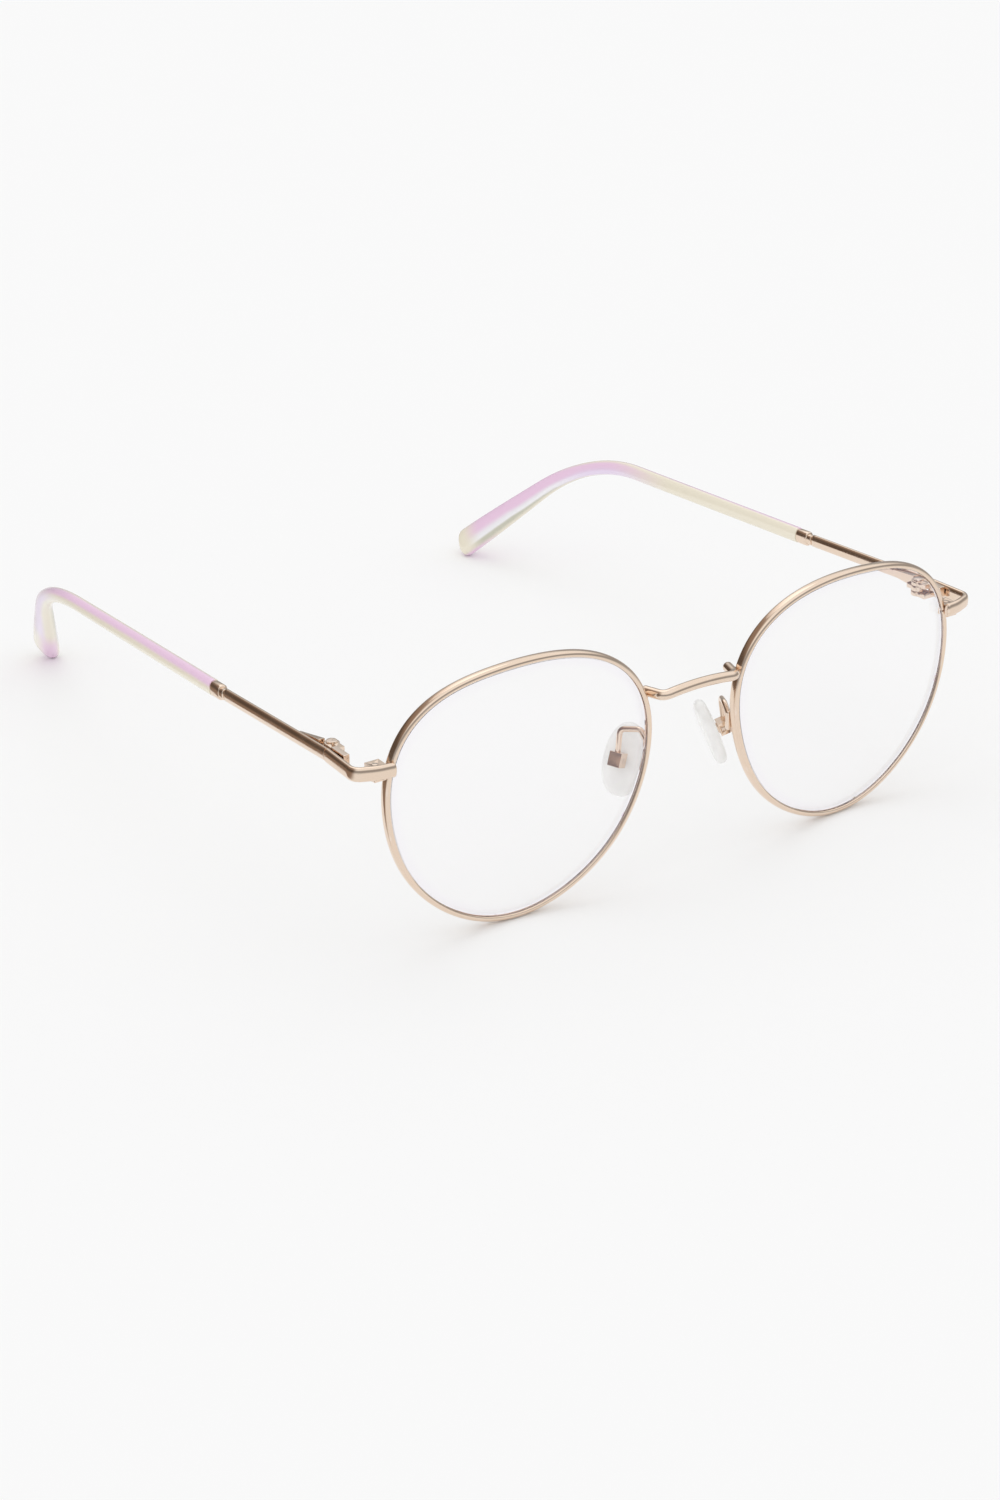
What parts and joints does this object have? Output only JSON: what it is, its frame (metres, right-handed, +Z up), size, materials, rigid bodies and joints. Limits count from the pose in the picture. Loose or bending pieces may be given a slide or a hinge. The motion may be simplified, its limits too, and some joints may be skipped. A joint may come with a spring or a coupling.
{
  "type": "eyeglasses",
  "caption": "Thin metal full-rim eyeglasses, rounded panto lenses, low arched bridge, soft nose pads on arms, folding temples with translucent tips",
  "frame": {"origin": "on the table, under the middle of the open eyeglasses' bounding box", "axes": "+X to the wearer's left, -Y the way the front faces, +Y along the temples, +Z up"},
  "size_m": [0.131, 0.154, 0.0476],
  "materials": {
    "metal": "polished rose gold plating",
    "screw": "turned steel, rose gold flash",
    "lens": "clear with a faint violet anti-reflection coating",
    "tip": "translucent pearl acetate, pink above and cream below",
    "pad": "soft clear silicone"
  },
  "bodies": {
    "front": {"left_rim": "metal", "left_lens": "lens", "left_endpiece": "metal", "left_block_upper": "metal", "left_block_lower": "metal", "left_block_screw": "screw", "left_hinge_front": "metal", "left_hinge_screw": "screw", "left_pad_arm": "metal", "left_pad_box": "metal", "left_pad_screw": "screw", "right_rim": "metal", "right_lens": "lens", "right_endpiece": "metal", "right_block_upper": "metal", "right_block_lower": "metal", "right_block_screw": "screw", "right_hinge_front": "metal", "right_hinge_screw": "screw", "right_pad_arm": "metal", "right_pad_box": "metal", "right_pad_screw": "screw", "bridge": "metal"},
    "left_temple": {"left_hinge_rear": "metal", "left_temple_bar": "metal", "left_temple_core": "metal", "left_collar": "metal", "left_temple_tip": "tip"},
    "left_pad": {"left_pad_stud": "metal", "left_nose_pad": "pad"},
    "right_temple": {"right_hinge_rear": "metal", "right_temple_bar": "metal", "right_temple_core": "metal", "right_collar": "metal", "right_temple_tip": "tip"},
    "right_pad": {"right_pad_stud": "metal", "right_nose_pad": "pad"}
  },
  "joints": [
    {"name": "left_temple_fold", "type": "hinge", "parent": "front", "child": "left_temple", "pos_m": [0.0623, -0.05984, 0.0335], "axis": [0, 0, 1], "range_deg": [0, 90]},
    {"name": "right_temple_fold", "type": "hinge", "parent": "front", "child": "right_temple", "pos_m": [-0.0623, -0.05984, 0.0335], "axis": [0, 0, -1], "range_deg": [0, 87]},
    {"name": "left_pad_rock", "type": "hinge", "parent": "front", "child": "left_pad", "pos_m": [0.01163, -0.06791, 0.02162], "axis": [0.3875, 0.9216, 0.0219], "range_deg": [-7, 7]},
    {"name": "right_pad_rock", "type": "hinge", "parent": "front", "child": "right_pad", "pos_m": [-0.01163, -0.06791, 0.02162], "axis": [-0.3875, 0.9216, 0.0219], "range_deg": [-7, 7]}
  ]
}
